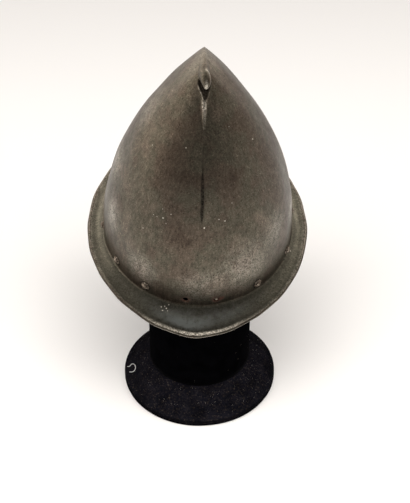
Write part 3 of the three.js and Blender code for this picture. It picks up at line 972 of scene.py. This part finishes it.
def rivetTree():
    tree, sockets = newTree("lining rivet", {
        "Head Radius": 0.003, "Head Height": 0.002, "Head Seat": 0.001, "Shank Radius": 0.0015,
        "Clench Radius": 0.0025, "Clench Height": -0.001, "Inside": -0.0018, "Material": None})
    give = addNode(tree, "NodeGroupInput").outputs
    head = domeNodes(tree, 28, 16, give["Head Radius"], give["Head Height"], give["Head Seat"])
    clench = domeNodes(tree, 28, 16, give["Clench Radius"], give["Clench Height"], give["Inside"])
    length = addNode(tree, "ShaderNodeMath", {"operation": "SUBTRACT"}, {
        0: give["Head Seat"], 1: give["Inside"]})
    shank = addNode(tree, "GeometryNodeMeshCylinder", {}, {
        "Vertices": 20, "Radius": give["Shank Radius"], "Depth": length.outputs[0]})
    both = addNode(tree, "ShaderNodeMath", {"operation": "ADD"}, {
        0: give["Head Seat"], 1: give["Inside"]})
    middle = addNode(tree, "ShaderNodeMath", {"operation": "MULTIPLY"}, {0: both.outputs[0], 1: 0.5})
    lift = addNode(tree, "ShaderNodeCombineXYZ", {}, {"Z": middle.outputs[0]})
    lifted = addNode(tree, "GeometryNodeTransform", {}, {
        "Geometry": shank.outputs["Mesh"], "Translation": lift.outputs[0]})
    joined = addNode(tree, "GeometryNodeJoinGeometry")
    for part in (head, clench, lifted.outputs["Geometry"]):
        tree.links.new(part, joined.inputs[0])
    placeOnPoints(tree, give["Geometry"], joined.outputs[0], give["Material"])
    return tree, sockets


# A dome whose radius and height rise and fall from petal to petal
def washerTree():
    tree, sockets = newTree("rosette washer", {
        "Radius": 0.005, "Thickness": 0.001, "Seat": 0.0003, "Petals": 8.0, "Material": None})
    give = addNode(tree, "NodeGroupInput").outputs
    at = addNode(tree, "GeometryNodeInputPosition")
    parts = addNode(tree, "ShaderNodeSeparateXYZ", {}, {0: at.outputs[0]}).outputs
    angle = addNode(tree, "ShaderNodeMath", {"operation": "ARCTAN2"}, {0: parts["Y"], 1: parts["X"]})
    petal = addNode(tree, "ShaderNodeMath", {"operation": "MULTIPLY"}, {
        0: angle.outputs[0], 1: give["Petals"]})
    wave = addNode(tree, "ShaderNodeMath", {"operation": "COSINE"}, {0: petal.outputs[0]})
    sizes = []
    for change, full in ((rivets["scallop"], "Radius"), (rivets["flute"], "Thickness")):
        share = addNode(tree, "ShaderNodeMath", {"operation": "MULTIPLY_ADD"}, {
            0: wave.outputs[0], 1: change, 2: 1 - change})
        sizes.append(addNode(tree, "ShaderNodeMath", {"operation": "MULTIPLY"}, {
            0: share.outputs[0], 1: give[full]}).outputs[0])
    washer = domeNodes(tree, 64, 14, *sizes, give["Seat"])
    placeOnPoints(tree, give["Geometry"], washer, give["Material"])
    return tree, sockets


# Wrought iron rivets, hammered over and never polished: darker and browner than the plate
def makeRivetIron():
    material, tree = newMaterial("wrought iron, hammered, brown rust")
    place = addNode(tree, "ShaderNodeTexCoord").outputs["Object"]
    spots = addNode(tree, "ShaderNodeTexNoise", {}, {
        "Vector": place, "Scale": 1 / (1.6 * mm), "Detail": 5, "Roughness": 0.7}).outputs["Fac"]
    colour = addNode(tree, "ShaderNodeValToRGB", {}, {"Fac": spots}, tones(rivets["iron"]))
    rough = addNode(tree, "ShaderNodeMapRange", {}, {
        "Value": spots, "From Min": 0.3, "From Max": 0.7, "To Min": 0.62, "To Max": 0.4})
    bump = addNode(tree, "ShaderNodeBump", {}, {
        "Strength": 0.4, "Distance": 0.2 * mm, "Height": spots})
    shader = addNode(tree, "ShaderNodeBsdfPrincipled", {}, {
        "Base Color": colour.outputs["Color"], "Metallic": 0.85,
        "Roughness": rough.outputs["Result"], "Normal": bump.outputs["Normal"]})
    addNode(tree, "ShaderNodeOutputMaterial", {}, {"Surface": shader.outputs["BSDF"]})
    return material


def makeRivets(material):
    sizes = {
        "Head Radius": rivets["headDiameter"] / 2 * mm,
        "Head Height": rivets["headHeight"] * mm,
        "Head Seat": (rivets["washerThickness"] + rivets["gap"]) * rivets["headSeat"] * mm,
        "Shank Radius": rivets["shank"] / 2 * mm,
        "Clench Radius": rivets["clenchDiameter"] / 2 * mm,
        "Clench Height": -rivets["clenchHeight"] * mm,
        "Inside": -(helmet["plate"] + rivets["gap"]) * mm,
    }
    stump = {"Head Radius": rivets["shank"] / 2 * mm, "Head Height": rivets["stumpHeight"] * mm,
             "Head Seat": 0.0}
    tree, sockets = rivetTree()
    whole = runTree(rivetPoints("lining_rivets", "whole"), tree, sockets, sizes, material)
    headless = runTree(rivetPoints("headless_rivet", "headless"), tree, sockets,
                       {**sizes, **stump}, material)
    tree, sockets = washerTree()
    washers = runTree(rivetPoints("rosette_washers", "whole"), tree, sockets, {
        "Radius": rivets["washerDiameter"] / 2 * mm, "Thickness": rivets["washerThickness"] * mm,
        "Seat": rivets["gap"] * rivets["washerSeat"] * mm,
        "Petals": float(rivets["petals"])}, material)
    place = helmetPlacement()
    for piece in (whole, headless, washers):
        piece.data.transform(place)
    return whole, headless, washers


liningRivets, headlessRivet, rosetteWashers = makeRivets(makeRivetIron())
print("rivets and washers made")


# Stand: a round foot and a domed column, both covered in black velvet

stand = {
    "segments": 160,
    "footRound": 2.2,         # mm
    "rimHeight": 9.0,
    "swell": 1.3,             # above 1 the slope from rim to column is rounded outwards
    "footUneven": 0.5,        # mm, the velvet's unevenness
    "columnUneven": 0.35,
    "footDust": 0.5,          # share of the dust that even an upright side holds
    "columnDust": 0.0,
}


def turnedRings(outline, uneven, seed):
    rng = np.random.default_rng(seed)
    angles = np.arange(stand["segments"]) * 2 * math.pi / stand["segments"]
    lobes = sum(rng.uniform(0.3, 1) * np.sin(k * angles + rng.uniform(0, 6.28))
                for k in (2, 3, 5, 9)) / 4
    rings = []
    for radius, height in outline:
        reach = radius - uneven * (0.5 + 0.5 * lobes)
        level = np.full_like(angles, height)
        rings.append(np.stack([reach * np.cos(angles), reach * np.sin(angles), level], axis=1))
    return rings


def turnedPiece(name, outline, peak, floor, uneven, seed, material):
    mesh = loftMesh(name, (0, 0, peak), turnedRings(outline, uneven, seed), (0, 0, 0))
    mesh.transform(Matrix.Scale(mm, 4))
    mesh.transform(Matrix.Translation((0, 0, floor)))
    mesh.materials.append(material)
    return addObject(name, mesh)


def arcPoints(centre, radius, start, stop, steps):
    angles = np.radians(np.linspace(start, stop, steps))
    return [(centre[0] + radius * math.cos(a), centre[1] + radius * math.sin(a)) for a in angles]


# Height of the foot's top at a distance from its middle, all in mm
def footTop(reach):
    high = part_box("stand_base")[1]
    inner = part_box("stand_column")[1][0] / mm
    outer = high[0] / mm - stand["footRound"]
    across = np.clip((reach - inner) / (outer - inner), 0, 1)
    rise = high[2] / mm - stand["rimHeight"]
    return stand["rimHeight"] + rise * (1 - across ** stand["swell"])


def makeStandFoot(material):
    low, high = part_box("stand_base")
    edge = stand["footRound"]
    outer = high[0] / mm - edge
    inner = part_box("stand_column")[1][0] / mm
    reaches = [*np.linspace(0.04, 0.94, 6) * inner, *np.linspace(inner, outer, 30)[:-1]]
    outline = [(reach, float(footTop(reach))) for reach in reaches]
    outline += arcPoints((outer, stand["rimHeight"] - edge), edge, 78, 0, 8)
    outline += arcPoints((outer, edge), edge, 0, -90, 8)
    outline += [(q * outer, 0) for q in np.linspace(0.9, 0.1, 6)]
    return turnedPiece("stand_foot_velvet", outline, high[2] / mm, low[2],
                       stand["footUneven"], 4, material)


def makeStandColumn(material):
    low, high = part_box("stand_column")
    radius = (high[0] - low[0]) / 2 / mm
    straight = (high[2] - low[2]) / mm - radius
    outline = arcPoints((0, straight), radius, 87, 0, 36)
    outline += [(radius, straight * q) for q in np.linspace(0.98, 0.02, 40)]
    outline += [(radius * q, 0) for q in (1, 0.6, 0.2)]
    return turnedPiece("stand_column_velvet", outline, straight + radius, low[2],
                       stand["columnUneven"], 9, material)


# How much dust lies on each point of the velvet, most where it faces upwards
def dustOn(mesh, least):
    fall = smoothStep(vertexRows(mesh, "normal")[:, 2] * 1.2 - 0.1)
    setAttribute(mesh, "dustFall", "FLOAT", least + (1 - least) * fall)


# Cotton velvet, short pile, black: takes nearly all light, greys at a glancing angle, and shows
# every speck of dust

velvetLook = {
    "pile": "040405",
    "sheen": "8c8c92",
    "dust": ((0.4, "0d0e13"), (0.54, "15151a"), (0.62, "302a26"), (0.72, "736656")),
    # How light or dark crushed pile makes the colour
    "crush": ((0.35, (0.6, 0.6, 0.6, 1)), (0.65, (1.25, 1.25, 1.3, 1))),
    # Size in mm, detail and roughness. Real pile and dust are finer, and drawn this coarse to show
    "patterns": {"crush": (14, 4, 0.6), "pile": (0.7, 3, 0.7), "dust": (1.8, 6, 0.8)},
}


def makeVelvet():
    look = velvetLook
    material, tree = newMaterial("cotton velvet, short pile, black")
    place = addNode(tree, "ShaderNodeTexCoord").outputs["Object"]
    field = {}
    for name, (size, detail, rough) in look["patterns"].items():
        field[name] = addNode(tree, "ShaderNodeTexNoise", {}, {
            "Vector": place, "Scale": 1 / (size * mm), "Detail": detail,
            "Roughness": rough}).outputs["Fac"]
    dusty = addNode(tree, "ShaderNodeValToRGB", {}, {"Fac": field["dust"]}, tones(look["dust"]))
    fall = addNode(tree, "ShaderNodeAttribute", {"attribute_name": "dustFall"}).outputs["Fac"]
    coated = addNode(tree, "ShaderNodeMix", {"data_type": "RGBA"}, {
        "Factor": fall, "A": linear(look["pile"]), "B": dusty.outputs["Color"]})
    crushed = addNode(tree, "ShaderNodeValToRGB", {}, {"Fac": field["crush"]}, look["crush"])
    colour = addNode(tree, "ShaderNodeMix", {"data_type": "RGBA", "blend_type": "MULTIPLY"}, {
        0: 1.0, "A": coated.outputs["Result"], "B": crushed.outputs["Color"]})
    bump = addNode(tree, "ShaderNodeBump", {}, {
        "Strength": 0.5, "Distance": 0.4 * mm, "Height": field["pile"]})
    shader = addNode(tree, "ShaderNodeBsdfPrincipled", {}, {
        "Base Color": colour.outputs["Result"], "Roughness": 1.0, "Specular IOR Level": 0.0,
        "Sheen Weight": 0.03, "Sheen Roughness": 0.3, "Sheen Tint": linear(look["sheen"]),
        "Normal": bump.outputs["Normal"]})
    addNode(tree, "ShaderNodeOutputMaterial", {}, {"Surface": shader.outputs["BSDF"]})
    return material


velvet = makeVelvet()
footVelvet = makeStandFoot(velvet)
columnVelvet = makeStandColumn(velvet)
dustOn(footVelvet.data, stand["footDust"])
dustOn(columnVelvet.data, stand["columnDust"])
print("stand made")


# Lint on the velvet: short cotton fibres and specks, and one long curled fibre left on the foot

lint = {
    "onFoot": 260,
    "onColumn": 60,
    "footArea": (0.46, 0.92),     # shares of the foot's area, from its middle, that it lies between
    "columnHeights": (4.0, 120.0),  # mm
    "length": 1.6,                # mm
    "thickness": 0.16,            # real lint is finer and is drawn this thick to show
    "smallest": 0.25,             # share of the length
    "lift": 0.12,
    "bend": 1.9,                  # radians from end to end
    # Where the curled fibre runs, in the photo's pixels
    "curl": ((127.6, 366.6), (129.6, 366.9), (130.6, 365.2), (131.9, 363.9), (134.0, 364.1),
             (135.6, 366.0), (135.4, 369.0), (134.0, 371.4), (131.4, 372.4), (129.6, 372.0)),
    "curlThickness": 0.52,
}


def lintPoints():
    rng = np.random.default_rng(12)
    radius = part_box("stand_base")[1][0]
    turns = rng.uniform(0, 2 * math.pi, lint["onFoot"])
    reach = np.sqrt(rng.uniform(*lint["footArea"], lint["onFoot"])) * radius
    top = np.stack([reach * np.cos(turns), reach * np.sin(turns), footTop(reach / mm) * mm], axis=1)
    slope = footTop(reach / mm - 0.5) - footTop(reach / mm + 0.5)
    up = np.stack([slope * np.cos(turns), slope * np.sin(turns), np.ones_like(turns)], axis=1)
    up /= np.linalg.norm(up, axis=1, keepdims=True)
    columnLow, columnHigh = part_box("stand_column")
    turns = rng.uniform(0, 2 * math.pi, lint["onColumn"])
    out = np.stack([np.cos(turns), np.sin(turns), np.zeros_like(turns)], axis=1)
    wall = out * columnHigh[0]
    lowest, highest = (columnLow[2] + height * mm for height in lint["columnHeights"])
    wall[:, 2] = rng.uniform(lowest, highest, lint["onColumn"])
    outward = np.vstack([up, out])
    places = np.vstack([top, wall]) + outward * lint["lift"] * mm
    mesh = bpy.data.meshes.new("velvet_lint")
    mesh.from_pydata([tuple(place) for place in places], [], [])
    setAttribute(mesh, "outward", "FLOAT_VECTOR", outward)
    return addObject("velvet_lint", mesh)


def lintTree():
    tree, sockets = newTree("lint fibre", {"Length": 0.002, "Thickness": 0.0002, "Material": None})
    give = addNode(tree, "NodeGroupInput").outputs
    radius = addNode(tree, "ShaderNodeMath", {"operation": "DIVIDE"}, {
        0: give["Length"], 1: lint["bend"]})
    arc = addNode(tree, "GeometryNodeCurveArc", {"mode": "RADIUS"}, {
        "Resolution": 6, "Radius": radius.outputs[0], "Sweep Angle": lint["bend"]})
    thick = addNode(tree, "ShaderNodeMath", {"operation": "MULTIPLY"}, {0: give["Thickness"], 1: 0.5})
    section = addNode(tree, "GeometryNodeCurvePrimitiveCircle", {}, {
        "Resolution": 4, "Radius": thick.outputs[0]})
    tube = addNode(tree, "GeometryNodeCurveToMesh", {}, {
        "Curve": arc.outputs["Curve"], "Profile Curve": section.outputs["Curve"],
        "Fill Caps": True})
    placeOnPoints(tree, give["Geometry"], tube.outputs["Mesh"], give["Material"], lint["smallest"])
    return tree, sockets


# Cotton lint, off-white and matt, greyed with dust
def makeLintCotton(name, dark, light):
    material, tree = newMaterial(name)
    place = addNode(tree, "ShaderNodeTexCoord").outputs["Object"]
    tint = addNode(tree, "ShaderNodeTexNoise", {}, {
        "Vector": place, "Scale": 1 / (9 * mm), "Detail": 3})
    colour = addNode(tree, "ShaderNodeValToRGB", {}, {"Fac": tint.outputs["Fac"]},
                     tones(((0.4, dark), (0.6, light))))
    shader = addNode(tree, "ShaderNodeBsdfPrincipled", {}, {
        "Base Color": colour.outputs["Color"], "Roughness": 0.95, "Specular IOR Level": 0.1})
    addNode(tree, "ShaderNodeOutputMaterial", {}, {"Surface": shader.outputs["BSDF"]})
    return material


def makeLint(material):
    tree, sockets = lintTree()
    return runTree(lintPoints(), tree, sockets, {
        "Length": lint["length"] * mm, "Thickness": lint["thickness"] * mm}, material)


def makeCurl(material):
    surface = raySurface(footVelvet.data)
    places = [photoPoint(surface, x, y) for x, y in lint["curl"]]
    path = bpy.data.curves.new("curled_fibre", "CURVE")
    path.dimensions = "3D"
    path.bevel_depth = lint["curlThickness"] / 2 * mm
    path.bevel_resolution = 2
    path.use_fill_caps = True
    spline = path.splines.new("NURBS")
    spline.points.add(len(places) - 1)
    for point, at in zip(spline.points, places):
        point.co = (at.x, at.y, at.z + lint["curlThickness"] / 2 * mm, 1)
    spline.use_endpoint_u = True
    spline.order_u = 3
    piece = addObject("curled_fibre", path)
    graph = bpy.context.evaluated_depsgraph_get()
    mesh = bpy.data.meshes.new_from_object(piece.evaluated_get(graph))
    bpy.data.objects.remove(piece)
    mesh.materials.clear()
    mesh.materials.append(material)
    return addObject("curled_fibre", mesh)


velvetLint = makeLint(makeLintCotton("cotton lint, matt, dusty", "4e463e", "9a948a"))
curledFibre = makeCurl(makeLintCotton("cotton thread, matt white", "eceeec", "ffffff"))
print("lint laid")


# What each piece stands for

for piece, nodes, slotName in (
    (helmetSkin, ["helmet_shell"], "patinated_steel"),
    (liningRivets, [f"lining_rivet_{i:02d}" for i in range(2, 14)], "rivet_steel"),
    (headlessRivet, ["lining_rivet_01"], "rivet_steel"),
    (rosetteWashers, [f"rosette_washer_{i:02d}" for i in range(2, 14)], "rivet_steel"),
    (footVelvet, ["stand_base"], "velvet"),
    (columnVelvet, ["stand_column"], "velvet"),
    (velvetLint, [], "velvet"),
    (curledFibre, [], "velvet"),
):
    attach(piece, "root")
    if nodes:
        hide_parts(*nodes)


# Studio: a wide pale floor, soft boxes at both sides and behind, and a wash from above that only
# the matt surfaces answer

studio = {
    "floorSize": 40.0,        # m
    "floorColour": "fbfbfb",
    "worldStrength": 0.11,
    "worldColour": "fff8f0",
    "shiny": "fff4e9",        # colour of the lamps for either kind of surface
    "matt": "fffaf5",
    "lampAim": (0, 0, 0.2),   # m
}

# Name, place and size in m, watts, and whether it is seen in shiny surfaces or lights the matt ones
lamps = (
    ("left_softbox", (-1.35, 0.35, 0.65), (2.0, 1.3), 13.0, "shiny"),
    ("right_softbox", (1.35, 0.35, 0.65), (2.0, 1.3), 4.5, "shiny"),
    ("back_softbox", (0.0, 1.6, 1.05), (4.2, 2.1), 48.0, "shiny"),
    ("floor_wash", (0.0, -0.6, 1.55), (3.4, 1.2), 66.0, "matt"),
)


def makeFloor():
    half = studio["floorSize"] / 2
    corners = [(-half, -half, 0), (half, -half, 0), (half, half, 0), (-half, half, 0)]
    mesh = bpy.data.meshes.new("pale_floor")
    mesh.from_pydata(corners, [], [(0, 1, 2, 3)])
    floor = addObject("pale_floor", mesh)
    material, tree = newMaterial("matt white paper sweep")
    shader = addNode(tree, "ShaderNodeBsdfPrincipled", {}, {
        "Base Color": linear(studio["floorColour"]), "Roughness": 0.9, "Specular IOR Level": 0.2})
    addNode(tree, "ShaderNodeOutputMaterial", {}, {"Surface": shader.outputs["BSDF"]})
    mesh.materials.append(material)


def makeLamps():
    for name, place, size, watts, surfaces in lamps:
        data = bpy.data.lights.new(name, "AREA")
        data.shape = "RECTANGLE"
        data.size, data.size_y = size
        data.energy = watts
        data.color = linear(studio[surfaces])[:3]
        lamp = bpy.data.objects.new(name, data)
        lamp.location = place
        toAim = Vector(studio["lampAim"]) - Vector(place)
        lamp.rotation_euler = toAim.to_track_quat("-Z", "Y").to_euler()
        lamp.visible_camera = False
        lamp.visible_glossy = surfaces == "shiny"
        lamp.visible_diffuse = surfaces == "matt"
        bpy.context.scene.collection.objects.link(lamp)


def makeWorld():
    world = bpy.data.worlds.new("light tent")
    world.use_nodes = True
    tree = world.node_tree
    tree.nodes.clear()
    sky = addNode(tree, "ShaderNodeBackground", {}, {
        "Color": linear(studio["worldColour"]), "Strength": studio["worldStrength"]})
    addNode(tree, "ShaderNodeOutputWorld", {}, {"Surface": sky.outputs["Background"]})
    bpy.context.scene.world = world


makeFloor()
makeLamps()
makeWorld()
print("studio set")
